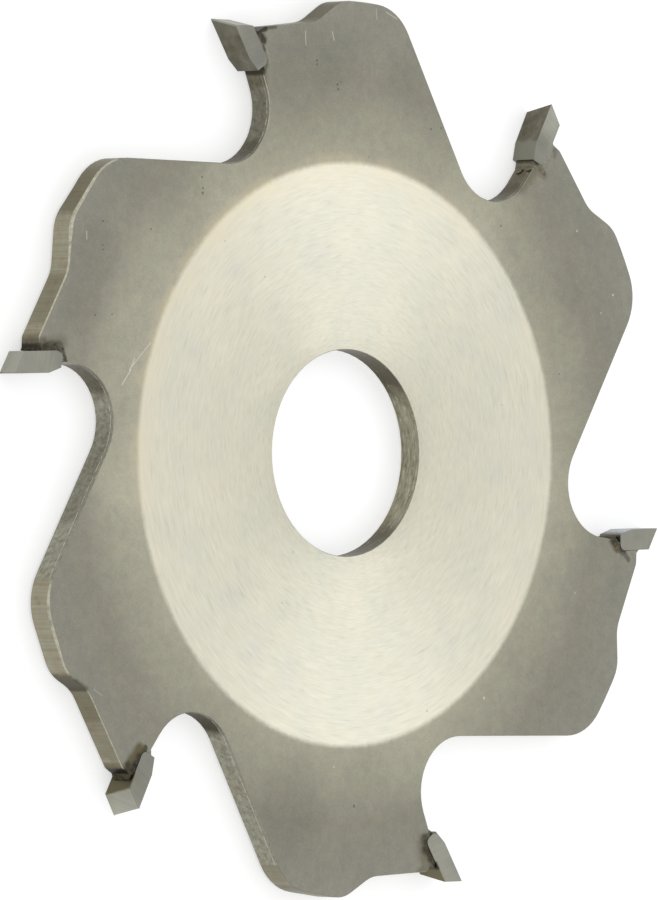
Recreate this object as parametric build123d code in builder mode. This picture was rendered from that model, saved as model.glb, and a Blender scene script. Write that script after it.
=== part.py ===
from build123d import *
from build123d import SkipClean
import os
from math import acos, cos, degrees, radians, sin, sqrt, tan

# Biscuit joiner blade: a flat steel plate with six teeth, each with a carbide tip brazed into a
# seat at its leading corner. Millimetres. The origin is the centre of the bore, halfway through
# the plate. +Z points out of the face on which the teeth cut counter-clockwise, and +Y runs
# through the crest of the first tooth. The teeth are counted clockwise from there, and every
# tooth is drawn in its own frame, which is the first one's turned by its share of the circle.

# Plate
plate_t = 2.7
bore_d = 22.0
teeth = 6
slope_reach = 30.12      # from the axis, square out to the straight slope behind each tooth

# Hub, ground on both faces for the clamping flanges. The ground circle is a face of its own,
# flush with the plate round it, and stands a little off the bore's centre.
hub_r = 31.0
hub_centre = (0.4, -0.17)

# Carbide tips
tip_r = 48.7             # cutting corner from the axis, halfway across the tip
tip_lead = 21.37         # degrees from the tooth's centre line to the cutting corner
hook = 10.9              # degrees that the rake face leans into the cut
relief = 20.7            # degrees that the outer end falls away behind the corner
rake_len = 4.5
toe_len = 1.85           # slanted facet at the rake face's inner end
toe_turn = 16.2          # degrees that it turns back from the rake face
tip_t = 2.3
tip_proud = 0.3          # past each face of the plate, at the cutting corner
tip_taper = 0.7          # degrees, each side, narrower towards the axis
tip_bevel = 15.0         # degrees that the outer end slants across the tip
tip_corner_r = 0.7       # inner back corner, which sits in the seat's corner
tip_out = (-0.33, 0.07, 0.37, 0.0, 0.0, -0.05)  # how far each tip was set out or in

# Gullet, ahead of each tooth
gullet_r = 5.92
gullet_lean = 22.0       # degrees that the wall under the tip leans forward
toe_overhang = 0.75      # of the tip, past that wall

# Crest behind the tip, as cut. Drops are measured down from the crest.
crest_gap = 0.63         # that the crest stays inside the circle of the cutting corners
crest_start = 1.45       # top of the rise, ahead of the tooth's centre line
heel_lead = 5.1          # foot of the rise, ahead of the centre line
heel_drop = 2.39
neck_back = 2.35         # start of the low back edge, behind the tip's outer back corner
neck_drop = 3.34
neck_slope = 28.0        # degrees that the plate falls from there to the tip
neck_r = 0.8
bend_r = 4.0             # at the foot and at the top of the rise
shoulder_r = 6.0

# Crests that were ground down by hand, to a flat that falls away behind a sharper ridge.
# Tooth: neck drop, heel lead, heel drop, ridge lead, ridge drop, fall of the flat in degrees
ground = {
    3: (3.42, 4.5, 3.01, 0.3, 0.72, 7.4),
    4: (3.37, 3.2, 3.05, 0.2, 1.19, 6.5),
    5: (3.62, 4.7, 3.63, -0.2, 1.22, 7.4),
}

# Braze
braze_gap = 0.12
bead_w = 0.8             # what ran out on to each face of the plate, along the seat
bead_h = 0.16
bead_inset = 0.15        # that it stops short of the plate's edges

pitch = 360 / teeth
half_t = plate_t / 2
crest_r = tip_r - crest_gap

# Directions in the tooth's frame, in degrees
corner_dir = 90 + tip_lead
inward = corner_dir + 180 + hook
backward = inward + 90
end_dir = corner_dir - 90 - relief
wall_dir = 90 + gullet_lean
slope_dir = 180 - pitch


def polar(angle, length):
    return Vector(cos(radians(angle)), sin(radians(angle))) * length


def meet(p, p_dir, q, q_dir):
    """Where the line through p in the direction p_dir crosses the line through q."""
    u, v, w = polar(p_dir, 1), polar(q_dir, 1), q - p
    return p + u * ((w.X * v.Y - w.Y * v.X) / (u.X * v.Y - u.Y * v.X))


def tooth_plane(k):
    return Plane.XY.rotated((0, 0, -pitch * k))


def tip_corners(out=0.0):
    """The tip's outline from the cutting corner round by its inner end to its back corner."""
    corner = polar(corner_dir, tip_r + out)
    rake_end = corner + polar(inward, rake_len)
    toe = rake_end + polar(inward + toe_turn, toe_len)
    back = corner + polar(backward, tip_t)
    seat = meet(toe, backward, back, inward)
    return corner, rake_end, toe, seat, meet(corner, end_dir, back, inward)


def tip_profile(k, spare):
    """The tip seen along the axis, with spare length at its outer end."""
    corner, rake_end, toe, seat, back = tip_corners(tip_out[k % len(tip_out)])
    with BuildSketch() as profile:
        with BuildLine():
            Polyline(
                corner - polar(inward, spare), rake_end, toe, seat, back - polar(inward, spare), close=True
            )
        make_face()
        fillet(profile.vertices().sort_by_distance(seat)[0], tip_corner_r)
    return profile.sketch


def seat_profile(k):
    """The tip's seat in the plate: its profile with room for the braze."""
    with BuildSketch() as seat:
        add(tip_profile(k, spare=tip_t))
        offset(amount=braze_gap)
    return seat.sketch


def neck_point(drop):
    return Vector(tip_corners()[4].X + neck_back, crest_r - drop)


def wall_point():
    """Where the gullet's wall passes under the tip."""
    return tip_corners()[2] + polar(backward, toe_overhang)


def tooth_blank(k):
    """One tooth of the plate, from the axis out, before its seat is cut."""
    gullet = meet(Vector(0, slope_reach), 0, wall_point(), wall_dir)
    seam = gullet - Vector(gullet_r * tan(radians(wall_dir / 2)) + gullet_r / 2, 0)
    if k in ground:
        drop, heel_x, heel_y, ridge_x, ridge_y, fall = ground[k]
        neck = neck_point(drop)
        heel = Vector(-heel_x, crest_r - heel_y)
        ridge = Vector(-ridge_x, crest_r - ridge_y)
        shoulder = meet(ridge, -fall, polar(90 - pitch, slope_reach), slope_dir)
    else:
        neck = neck_point(neck_drop)
        heel = Vector(-heel_lead, crest_r - heel_drop)
        ridge = Vector(-crest_start, sqrt(crest_r**2 - crest_start**2))
        shoulder = polar(90 - pitch + degrees(acos(slope_reach / crest_r)), crest_r)
    wall_top = meet(wall_point(), wall_dir, neck, neck_slope)
    with BuildSketch() as blank:
        with BuildLine():
            Polyline((0, 0), seam, gullet, wall_top, neck, heel, ridge)
            if k in ground:
                Line(ridge, shoulder)
            else:
                ThreePointArc(ridge, (0, crest_r), shoulder)
            Polyline(shoulder, seam.rotate(Axis.Z, -pitch), (0, 0))
        make_face()
        bends = ((gullet, gullet_r), (neck, neck_r), (heel, bend_r), (ridge, bend_r), (shoulder, shoulder_r))
        for point, radius in bends:
            fillet(blank.vertices().sort_by_distance(point)[0], radius)
    return blank.sketch


with BuildPart() as blank:
    for k in range(teeth):
        with BuildSketch(tooth_plane(k).offset(-half_t)):
            add(tooth_blank(k))
            add(seat_profile(k), mode=Mode.SUBTRACT)
        extrude(amount=plate_t)
    Hole(bore_d / 2)

with BuildPart() as hub:
    add(blank.part)
    with Locations(hub_centre):
        Cylinder(hub_r, plate_t, mode=Mode.INTERSECT)

with BuildPart() as plate:
    add(blank.part)
    add(hub.part, mode=Mode.SUBTRACT)
    with SkipClean():
        add(hub.part)
plate.part.label = "plate"


def side_plane(k, side):
    """One side of the tip, which narrows towards the axis. Its normal points out."""
    corner = polar(corner_dir, tip_r + tip_out[k % len(tip_out)])
    along = polar(inward, cos(radians(tip_taper))) - Vector(0, 0, side * sin(radians(tip_taper)))
    return Plane(
        origin=corner + Vector(0, 0, side * (half_t + tip_proud)),
        x_dir=along,
        z_dir=along.cross(polar(backward, 1)) * side,
    )


def end_plane(k):
    """The tip's outer end, which slants to alternate sides from tooth to tooth."""
    side = 1 if k % 2 else -1
    across = Vector(0, 0, 1) - polar(inward, side * tan(radians(tip_bevel)))
    return Plane(
        origin=polar(corner_dir, tip_r + tip_out[k % len(tip_out)]),
        x_dir=polar(end_dir, 1),
        z_dir=across.cross(polar(end_dir, 1)),
    )


tips = []
for k in range(teeth):
    with BuildPart() as tip:
        with BuildSketch(tooth_plane(k)):
            add(tip_profile(k, spare=tip_t))
        extrude(amount=plate_t, both=True)
        for cut in (side_plane(k, 1), side_plane(k, -1), end_plane(k)):
            split(bisect_by=Plane(tooth_plane(k).location * cut.location), keep=Keep.BOTTOM)
    tip.part.label = f"tip_{k + 1}"
    tips.append(tip.part)

# The braze fills the seat round the tip, and a low bead of it lies in the corner between each
# face of the plate and the tip's side.
brazes = []
for k in range(teeth):
    toe, seat, back = tip_corners(tip_out[k % len(tip_out)])[2:]
    foot = meet(toe, backward, wall_point(), wall_dir) + polar(backward, bead_inset)
    top = meet(seat, inward, neck_point(ground[k][0] if k in ground else neck_drop), neck_slope)
    with BuildPart() as braze:
        with BuildSketch(tooth_plane(k).offset(-half_t)):
            add(tooth_blank(k))
            add(seat_profile(k), mode=Mode.INTERSECT)
            add(tip_profile(k, spare=tip_t), mode=Mode.SUBTRACT)
        extrude(amount=plate_t)
        face = tooth_plane(k).offset(half_t)
        corners = [face.from_local_coords(p) for p in (foot, seat, top + polar(inward, bead_inset))]
        with BuildLine() as run:
            FilletPolyline(*corners, radius=tip_corner_r)
        start = Plane(run.line @ 0, x_dir=(0, 0, 1), z_dir=run.line % 0)
        with BuildSketch(start):
            with BuildLine():
                Polyline((0, 0), (bead_h, 0), (0, bead_w), close=True)
            make_face()
        sweep(path=run.line)
        mirror(about=Plane.XY)
    braze.part.label = f"braze_{k + 1}"
    brazes.append(braze.part)

os.makedirs("parts", exist_ok=True)
export_step(plate.part, "parts/plate.step")
for piece in tips + brazes:
    export_step(piece, f"parts/{piece.label}.step")
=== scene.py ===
"""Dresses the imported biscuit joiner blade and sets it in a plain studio.

The blade lies flat, as it would come to rest, and the camera looks down on it from the angle at
which the photograph was taken. Sizes in the classes are millimetres in the CAD frame: the origin
is the bore's centre, halfway through the plate, and +Z points out of the face in view. Marks are
placed in a tooth's own frame, in which that tooth's crest points along +Y. The frame of tooth 0
is the blade's own, and the teeth are counted clockwise from there.
"""

import logging
import math
from dataclasses import dataclass, field
from enum import Enum
from functools import partial
from typing import Any, Callable

import bpy
from mathutils import Matrix, Vector

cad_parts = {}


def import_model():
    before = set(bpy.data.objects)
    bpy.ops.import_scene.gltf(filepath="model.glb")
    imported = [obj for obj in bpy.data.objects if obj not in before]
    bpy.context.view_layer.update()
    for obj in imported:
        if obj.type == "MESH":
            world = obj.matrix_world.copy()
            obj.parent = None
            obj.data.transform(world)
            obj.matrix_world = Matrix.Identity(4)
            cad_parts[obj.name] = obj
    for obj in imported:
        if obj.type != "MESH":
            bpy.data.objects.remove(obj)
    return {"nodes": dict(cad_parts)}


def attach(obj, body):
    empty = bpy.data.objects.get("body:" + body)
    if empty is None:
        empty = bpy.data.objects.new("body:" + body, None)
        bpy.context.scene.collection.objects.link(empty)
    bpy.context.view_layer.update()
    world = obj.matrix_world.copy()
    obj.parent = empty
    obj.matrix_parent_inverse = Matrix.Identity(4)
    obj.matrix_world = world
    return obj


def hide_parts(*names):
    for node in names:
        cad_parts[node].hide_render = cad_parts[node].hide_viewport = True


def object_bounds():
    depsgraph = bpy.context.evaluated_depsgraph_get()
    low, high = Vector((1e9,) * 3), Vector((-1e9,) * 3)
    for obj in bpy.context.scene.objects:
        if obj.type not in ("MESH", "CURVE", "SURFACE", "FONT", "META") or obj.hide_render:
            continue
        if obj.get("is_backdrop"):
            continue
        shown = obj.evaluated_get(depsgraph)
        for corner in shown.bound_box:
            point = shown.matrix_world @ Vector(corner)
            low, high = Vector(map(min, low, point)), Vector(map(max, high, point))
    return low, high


MM = 0.001
TEETH = 6
PITCH = 360 / TEETH
HALF_PLATE = 1.35
PHOTO_SIZE = (658, 900)
# Faces that meet at less than the first angle become one, and less than the second look smooth.
FLAT_DEGREES = 0.5
SMOOTH_DEGREES = 24.0
# Vertices closer than this become one.
MERGE_MM = 0.002
# The share of a mark's or a patch's reach within which it has its full strength.
FULL_SHARE = 0.3

# Node settings that many patterns share.
MIX = {"data_type": "RGBA"}
TIMES = {"data_type": "RGBA", "blend_type": "MULTIPLY"}
EASE = {"interpolation_type": "SMOOTHSTEP"}

Socket = bpy.types.NodeSocket

log = logging.getLogger("blade")


# Small helpers


def linear(code: str) -> tuple[float, float, float, float]:
    """Turns an sRGB hex colour to the linear colour that a shader takes.

    Args:
        code: the colour as six hex digits.

    Returns:
        Linear red, green and blue, and an alpha of 1.
    """
    parts = [int(code[i : i + 2], 16) / 255 for i in (0, 2, 4)]
    flat = [c / 12.92 if c <= 0.04045 else ((c + 0.055) / 1.055) ** 2.4 for c in parts]
    return flat[0], flat[1], flat[2], 1.0


def add_node(
    tree: bpy.types.NodeTree,
    kind: str,
    settings: dict[str, Any] | None = None,
    inputs: dict[int | str, Any] | None = None,
    stops: list[tuple[float, str]] | None = None,
    out: int | str = 0,
) -> Socket | None:
    """Adds one node with its settings and links.

    Args:
        tree: the node tree that it goes into.
        kind: the node's type name.
        settings: properties of the node and their values.
        inputs: input sockets, by name or number, with a value or the socket that feeds each.
        stops: a colour ramp's places from 0 to 1, in order, with an sRGB hex colour each.
        out: the output that is wanted, by name or number.

    Returns:
        That output, or nothing for a node that has none.
    """
    node = tree.nodes.new(kind)
    for name, value in (settings or {}).items():
        setattr(node, name, value)
    for key, value in (inputs or {}).items():
        if isinstance(value, Socket):
            tree.links.new(value, node.inputs[key])
        else:
            node.inputs[key].default_value = value
    for number, (place, code) in enumerate(stops or []):
        elements = node.color_ramp.elements
        stop = elements[number] if number < 2 else elements.new(place)
        stop.position, stop.color = place, linear(code)
    return node.outputs[out] if node.outputs else None


def work_on(obj: bpy.types.Object) -> None:
    """Deselects everything, then makes one object selected and active.

    Args:
        obj: the object.
    """
    bpy.ops.object.select_all(action="DESELECT")
    obj.select_set(True)
    bpy.context.view_layer.objects.active = obj


def apply_modifier(obj: bpy.types.Object, kind: str, **settings: Any) -> None:
    """Adds a modifier with its settings and applies it.

    Args:
        obj: the object that is shaped.
        kind: the modifier's type.
        settings: the modifier's properties.
    """
    work_on(obj)
    modifier = obj.modifiers.new(kind.title(), kind)
    for name, value in settings.items():
        setattr(modifier, name, value)
    bpy.ops.object.modifier_apply(modifier=modifier.name)


def copy_node(node: bpy.types.Object, name: str, flat_degrees: float = 0.0) -> bpy.types.Object:
    """Copies a CAD node's mesh into a new object and merges its loose triangles.

    Args:
        node: the CAD node.
        name: the new piece's name.
        flat_degrees: faces that meet at less than this become one; none do at 0.

    Returns:
        The new object, at the origin.
    """
    piece = bpy.data.objects.new(name, node.data.copy())
    piece.data.name = name
    piece.data.materials.clear()
    bpy.context.scene.collection.objects.link(piece)
    work_on(piece)
    bpy.ops.object.mode_set(mode="EDIT")
    bpy.ops.mesh.customdata_custom_splitnormals_clear()
    bpy.ops.mesh.select_all(action="SELECT")
    bpy.ops.mesh.remove_doubles(threshold=MERGE_MM * MM)
    if flat_degrees:
        bpy.ops.mesh.dissolve_limited(
            angle_limit=math.radians(flat_degrees), use_dissolve_boundaries=False
        )
    bpy.ops.object.mode_set(mode="OBJECT")
    return piece


def edit_parts(obj: bpy.types.Object, kind: str, chosen: list[bool]) -> None:
    """Opens an object in edit mode with some of its parts selected.

    Args:
        obj: the object.
        kind: which parts, as VERT, EDGE or FACE.
        chosen: whether each of them is selected, by its number.
    """
    work_on(obj)
    bpy.ops.object.mode_set(mode="EDIT")
    bpy.ops.mesh.select_mode(type=kind)
    bpy.ops.mesh.select_all(action="DESELECT")
    bpy.ops.object.mode_set(mode="OBJECT")
    mesh = obj.data
    parts = {"VERT": mesh.vertices, "EDGE": mesh.edges, "FACE": mesh.polygons}[kind]
    parts.foreach_set("select", chosen)
    bpy.ops.object.mode_set(mode="EDIT")


def seen_as_white(add: Callable[..., Socket]) -> Socket:
    """Tells rays from the camera, glossy metal and glass, for which the studio is white.

    Args:
        add: adds a node to the tree that needs it.

    Returns:
        1 for such a ray and 0 for the rest.
    """
    seen = add("ShaderNodeLightPath", out="Is Camera Ray")
    for way in ("Is Glossy Ray", "Is Transmission Ray"):
        ray = add("ShaderNodeLightPath", out=way)
        seen = add("ShaderNodeMath", {"operation": "MAXIMUM"}, {0: seen, 1: ray})
    return seen


def tooth_turn(tooth: int) -> Matrix:
    """Gives the turn from a tooth's own frame to the blade's.

    Args:
        tooth: the tooth's number.

    Returns:
        The turn.
    """
    return Matrix.Rotation(-math.radians(PITCH * tooth), 4, "Z")


def sides_of_edges(mesh: bpy.types.Mesh) -> list[list[bpy.types.MeshPolygon]]:
    """Finds the faces on either side of each edge.

    Args:
        mesh: the mesh.

    Returns:
        For each edge, by its number, the faces that share it.
    """
    numbers = {edge.key: edge.index for edge in mesh.edges}
    sides: list[list[bpy.types.MeshPolygon]] = [[] for _ in mesh.edges]
    for face in mesh.polygons:
        for key in face.edge_keys:
            sides[numbers[key]].append(face)
    return sides


def meet_sharply(sides: list[bpy.types.MeshPolygon], degrees: float) -> bool:
    """Tells whether the faces at an edge meet at an angle.

    Args:
        sides: the faces that share the edge.
        degrees: the least turn from one to the other that counts.

    Returns:
        Whether there are two of them and they do.
    """
    return len(sides) == 2 and sides[0].normal.angle(sides[1].normal) > math.radians(degrees)


def break_edges(piece: bpy.types.Object, widths_mm: list[float]) -> None:
    """Bevels each edge by its own width, in one flat facet.

    Args:
        piece: the object.
        widths_mm: a width for each edge, by its number, and 0 for an edge that stays sharp.
    """
    widest = max(widths_mm)
    weights = piece.data.attributes.new("bevel_weight_edge", "FLOAT", "EDGE")
    weights.data.foreach_set("value", [width / widest for width in widths_mm])
    apply_modifier(
        piece,
        "BEVEL",
        width=widest * MM,
        segments=1,
        limit_method="WEIGHT",
        use_clamp_overlap=False,
    )


# Marks


@dataclass(frozen=True)
class Pit:
    """A small round flaw on the front face: its place on the blade and its radius."""

    x: float
    y: float
    radius: float


@dataclass(frozen=True)
class Streak:
    """A mark along a line in a tooth's frame: how far it reaches and how strong it is."""

    tooth: int
    start: tuple[float, float]
    end: tuple[float, float]
    reach: float
    strength: float


@dataclass(frozen=True)
class Patch:
    """A soft lighter or darker patch in a tooth's frame: its centre, its radius and the change."""

    tooth: int
    x: float
    y: float
    radius: float
    lift: float


PITS = (
    Pit(-21.58, 27.35, 0.13), Pit(-21.62, 26.85, 0.16), Pit(-21.75, 28.51, 0.13),
    Pit(-35.98, 23.4, 0.12), Pit(-35.94, 20.9, 0.1), Pit(-35.92, 20.45, 0.1),
    Pit(-29.07, 22.81, 0.12), Pit(-36.98, 13.62, 0.12), Pit(-34.55, 13.79, 0.1),
    Pit(-4.96, 41.5, 0.13), Pit(-4.9, 41.1, 0.12), Pit(-1.85, 39.1, 0.14),
    Pit(-1.75, 38.6, 0.15), Pit(-1.34, 39.38, 0.1), Pit(12.35, 34.95, 0.13),
    Pit(13.88, 35.12, 0.11), Pit(2.98, 31.58, 0.09), Pit(23.27, 24.92, 0.13),
    Pit(32.54, 9.16, 0.11), Pit(1.72, -37.52, 0.17), Pit(-7.79, -10.62, 0.09),
    Pit(-18.29, 21.92, 0.09), Pit(-12.35, 18.32, 0.1), Pit(23.7, 5.6, 0.09),
    Pit(-9.34, -16.02, 0.09), Pit(12.63, -27.43, 0.11),
)
SPECKS = (
    Pit(21.36, -26.03, 0.17), Pit(35.15, 24.79, 0.13), Pit(40.94, 17.99, 0.15),
    Pit(39.06, 15.97, 0.1), Pit(35.39, -14.6, 0.1), Pit(-1.35, -33.36, 0.11),
)
# Fine scratches that shine on the front face. The two longest are a slip of a tool.
SCRATCHES = (
    Streak(0, (-33.0, 6.5), (-31.8, 8.0), 0.1, 0.6),
    Streak(0, (-31.9, 8.0), (-31.2, 9.3), 0.1, 0.6),
    Streak(0, (-32.0, 8.05), (-28.9, 11.03), 0.09, 0.5),
    Streak(0, (-6.72, 44.54), (-6.63, 43.06), 0.1, 0.4),
    Streak(0, (-2.69, 44.63), (-2.45, 43.79), 0.1, 0.45),
    Streak(0, (3.85, 47.4), (3.98, 46.3), 0.1, 0.3),
    Streak(0, (5.33, 47.15), (7.01, 46.5), 0.1, 0.35),
    Streak(0, (-38.28, 22.29), (-38.26, 21.45), 0.09, 0.5),
    Streak(0, (-36.5, -25.2), (-35.4, -25.8), 0.09, 0.22),
)
# Soft changes of tone over the plate's face, from handling and from how the blasting ran.
PLATE_TONES = (
    Patch(0, -30.5, 19.0, 9.0, 0.1), Patch(0, -34.5, 9.5, 9.0, 0.11),
    Patch(0, -33.4, -2.0, 7.0, 0.15), Patch(0, -33.0, -7.5, 8.0, 0.08),
    Patch(0, 19.0, 27.0, 8.0, 0.13), Patch(0, 32.5, -3.0, 6.0, 0.08),
    Patch(0, 11.5, -32.0, 8.0, 0.06), Patch(0, -17.4, 28.2, 6.0, 0.08),
    Patch(0, 30.0, 16.5, 8.0, -0.05), Patch(0, -6.5, 39.5, 9.0, -0.08),
    Patch(0, -8.0, -37.5, 8.0, -0.12), Patch(0, -17.0, -28.0, 7.0, -0.05),
    Patch(0, 26.5, -20.5, 6.0, -0.06), Patch(0, -39.0, 14.0, 4.0, -0.1),
    Patch(0, -37.0, 20.0, 5.0, -0.06), Patch(0, 5.5, 43.0, 5.0, 0.05),
    Patch(0, 7.3, 40.7, 3.0, -0.05),
)
# Soot and glazed flux on the plate and the braze, and painted shade where the tips meet the plate. The
# tip's back runs from (-12.35, 41.1) to (-15.0, 45.4) in each tooth's frame, the plate's low edge meets
# it at (-14.1, 43.95), and the gullet's wall passes under the tip at (-13.3, 40.7).
SOOT_AND_TIP_SHADE = (
    Streak(0, (-14.4, 44.45), (-13.9, 44.0), 0.5, 0.95),
    Streak(0, (-14.0, 44.05), (-12.7, 44.6), 0.6, 0.95),
    Streak(0, (-12.7, 44.65), (-11.2, 44.85), 0.42, 0.6),
    Streak(0, (-13.6, 43.9), (-13.0, 43.3), 0.8, 0.95),
    Streak(0, (-13.1, 43.1), (-12.9, 42.3), 0.42, 0.7),
    Streak(0, (-12.95, 42.6), (-12.5, 41.6), 0.2, 0.35),
    Streak(0, (-12.45, 41.2), (-12.75, 39.9), 0.34, 0.5),
    Streak(0, (-13.3, 40.6), (-13.08, 39.95), 0.62, 0.9),
    Streak(1, (-13.7, 40.5), (-13.0, 40.75), 0.26, 0.7),
    Streak(1, (-12.6, 40.95), (-11.7, 41.35), 0.4, 0.45),
    Streak(1, (-13.35, 44.3), (-12.7, 43.7), 0.5, 0.28),
    Streak(2, (-13.4, 40.4), (-13.1, 40.1), 0.5, 0.85),
    Streak(2, (-13.15, 40.3), (-12.8, 41.1), 0.75, 0.85),
    Streak(2, (-12.85, 41.1), (-12.75, 42.2), 0.6, 0.88),
    Streak(2, (-12.75, 42.2), (-12.45, 43.4), 0.42, 0.55),
    Streak(3, (-13.3, 40.5), (-12.65, 41.1), 0.45, 0.6),
    Streak(3, (-12.6, 41.2), (-12.75, 42.3), 0.92, 0.82),
    Streak(3, (-12.9, 42.4), (-13.8, 43.9), 0.66, 0.95),
    Streak(3, (-14.0, 44.1), (-13.5, 44.3), 0.45, 0.9),
    Streak(4, (-14.4, 44.5), (-13.3, 44.6), 0.8, 1.0),
    Streak(4, (-13.3, 44.4), (-12.9, 43.9), 0.75, 0.75),
    Streak(4, (-13.9, 44.0), (-13.4, 43.2), 0.85, 1.0),
    Streak(4, (-13.4, 43.1), (-12.85, 42.0), 0.6, 0.95),
    Streak(4, (-12.85, 42.0), (-12.5, 40.8), 0.42, 0.85),
    Streak(4, (-2.9, 45.2), (-1.5, 46.15), 0.5, 0.45),
    Streak(5, (-14.4, 44.8), (-13.4, 43.2), 1.0, 0.97),
    Streak(5, (-13.7, 44.7), (-12.9, 43.7), 0.75, 0.45),
    Streak(5, (-13.3, 43.3), (-12.4, 41.7), 0.9, 0.88),
    Streak(5, (-12.6, 42.7), (-11.95, 41.5), 0.7, 0.55),
    Streak(5, (-12.2, 40.95), (-13.0, 39.95), 0.42, 0.85),
)
# What reached the tips themselves.
TIP_SOOT = (
    Streak(4, (-14.2, 44.4), (-13.8, 43.7), 0.3, 0.8),
    Streak(3, (-13.0, 40.5), (-13.9, 40.4), 0.25, 0.5),
    Streak(3, (-14.2, 44.3), (-13.9, 43.8), 0.42, 0.95),
    Streak(2, (-13.9, 40.45), (-13.3, 40.65), 0.3, 0.7),
    Streak(5, (-14.0, 44.0), (-13.2, 42.6), 0.16, 0.8),
    Streak(1, (-13.3, 40.45), (-12.5, 40.9), 0.16, 0.7),
)
# Heat colours on the steel, browner and wider than the soot.
BROWNED = (
    Streak(0, (-13.1, 39.8), (-12.9, 38.8), 1.0, 0.55),
    Streak(1, (-12.9, 39.6), (-12.5, 37.4), 1.6, 0.5),
    Streak(1, (-12.4, 40.6), (-11.6, 41.2), 0.8, 0.35),
    Streak(2, (-13.0, 40.0), (-12.6, 41.2), 0.8, 0.6),
    Streak(3, (-12.3, 41.4), (-12.6, 43.2), 1.4, 0.5),
    Streak(3, (-12.9, 44.3), (-12.0, 44.9), 1.2, 0.5),
    Streak(4, (-13.6, 44.4), (-12.7, 44.9), 0.9, 0.6),
    Streak(4, (-12.9, 43.7), (-12.2, 41.6), 1.0, 0.9),
    Streak(5, (-13.2, 44.7), (-12.8, 44.8), 0.7, 0.3),
    Streak(5, (-12.9, 43.2), (-11.6, 41.4), 1.2, 0.4),
)
# Where the flux burnt to a lighter brown.
BROWN_FLUX = (
    Streak(1, (-13.35, 40.2), (-12.7, 38.7), 0.9, 1.0),
    Streak(1, (-12.9, 40.5), (-12.0, 41.0), 0.5, 1.0),
    Streak(2, (-13.1, 40.1), (-12.5, 41.2), 0.5, 0.7),
    Streak(3, (-13.6, 44.4), (-12.7, 43.4), 0.6, 0.45),
    Streak(4, (-14.6, 44.9), (-14.0, 44.3), 0.7, 0.4),
    Streak(5, (-14.3, 44.9), (-13.9, 45.2), 0.5, 0.5),
)
TIP_BROWNED = (
    Streak(4, (-15.1, 45.7), (-14.0, 43.9), 0.34, 1.0),
    Streak(3, (-14.0, 43.9), (-15.3, 45.9), 0.3, 0.95),
    Streak(2, (-14.0, 40.5), (-13.2, 41.0), 0.4, 0.4),
    Streak(1, (-13.1, 40.7), (-12.5, 41.2), 0.5, 0.5),
)
# Rake faces wiped lighter at their inner end.
WIPED = (
    Streak(1, (-15.2, 41.35), (-14.0, 40.2), 0.95, 0.85),
    Streak(0, (-17.6, 45.2), (-16.9, 44.2), 0.9, 0.3),
)
# Rake faces ground by a finer wheel, with their shine painted in as a lighter, cooler colour.
POLISHED_SHEEN = (
    Streak(2, (-17.6, 45.2), (-15.2, 41.4), 1.0, 1.0),
)
# Painted shade on the stamped walls, mostly where the gullets turn.
PAINTED_WALL_SHADE = (
    Streak(0, (-15.6, 30.6), (-13.6, 31.9), 2.4, 0.7),
    Streak(0, (-12.9, 32.8), (-11.9, 38.0), 2.4, 0.42),
    Streak(1, (-12.6, 33.2), (-11.95, 36.6), 2.4, 0.6),
    Streak(1, (-12.1, 36.8), (-12.3, 38.6), 2.0, 0.3),
    Streak(4, (-15.6, 30.5), (-13.6, 31.9), 2.1, 0.95),
    Streak(5, (-12.2, 34.0), (-11.95, 37.2), 1.9, 0.6),
    Streak(5, (-25.0, 30.1), (-18.6, 30.1), 2.2, 0.26),
    Streak(4, (13.9, 36.0), (18.0, 28.9), 2.2, 0.16),
)
# The ends of the bore's wall in view, which see less of the sky.
DARK_BORE = (
    Streak(0, (0.0, 11.0), (6.4, 8.9), 5.4, 0.9),
    Streak(0, (0.0, -11.0), (5.5, -9.5), 4.8, 0.8),
)
# Places where the ground tooth backs are painted a darker olive.
DARK_BACKS = (
    Streak(4, (-6.2, 44.9), (-3.8, 45.0), 1.6, 0.5),
    Streak(4, (-2.6, 45.4), (-1.2, 46.3), 1.3, 0.9),
    Streak(5, (7.3, 45.6), (9.0, 44.4), 1.5, 0.42),
    Streak(0, (-5.9, 45.1), (-2.2, 47.7), 1.7, 0.9),
    Streak(3, (0.0, 46.9), (6.6, 46.3), 1.7, 0.6),
    Streak(3, (6.8, 46.1), (9.4, 44.0), 1.7, 0.3),
    Streak(4, (-10.3, 44.8), (-4.0, 45.0), 1.9, 0.25),
    Streak(4, (-2.9, 45.2), (-1.0, 46.3), 1.2, 0.6),
    Streak(5, (-9.9, 44.4), (-6.3, 44.4), 1.9, 0.36),
    Streak(5, (-13.2, 44.3), (-12.9, 44.4), 1.2, 0.3),
    Streak(5, (2.0, 46.6), (8.6, 45.0), 1.8, 0.62),
)
# Edges worn bright by grinding and handling, painted lighter also as the highlight they catch.
RUBBED_AND_HIGHLIT = (
    Streak(5, (8.4, 44.8), (5.2, 46.3), 1.0, 0.9),
    Streak(5, (5.2, 46.3), (-1.6, 46.0), 1.0, 1.0),
    Streak(5, (-7.4, 44.4), (-12.4, 44.4), 1.0, 1.0),
    Streak(5, (-2.4, 45.0), (-7.4, 44.4), 1.0, 1.0),
    Streak(4, (8.7, 44.6), (0.2, 46.8), 1.1, 1.0),
    Streak(4, (-3.5, 44.7), (-12.4, 44.9), 0.9, 0.8),
    Streak(0, (-12.5, 39.1), (-11.8, 36.4), 0.9, 0.75),
    Streak(0, (-11.8, 36.4), (-12.2, 34.2), 0.9, 0.8),
    Streak(0, (-12.2, 34.2), (-13.3, 32.0), 0.9, 0.5),
)
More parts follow.
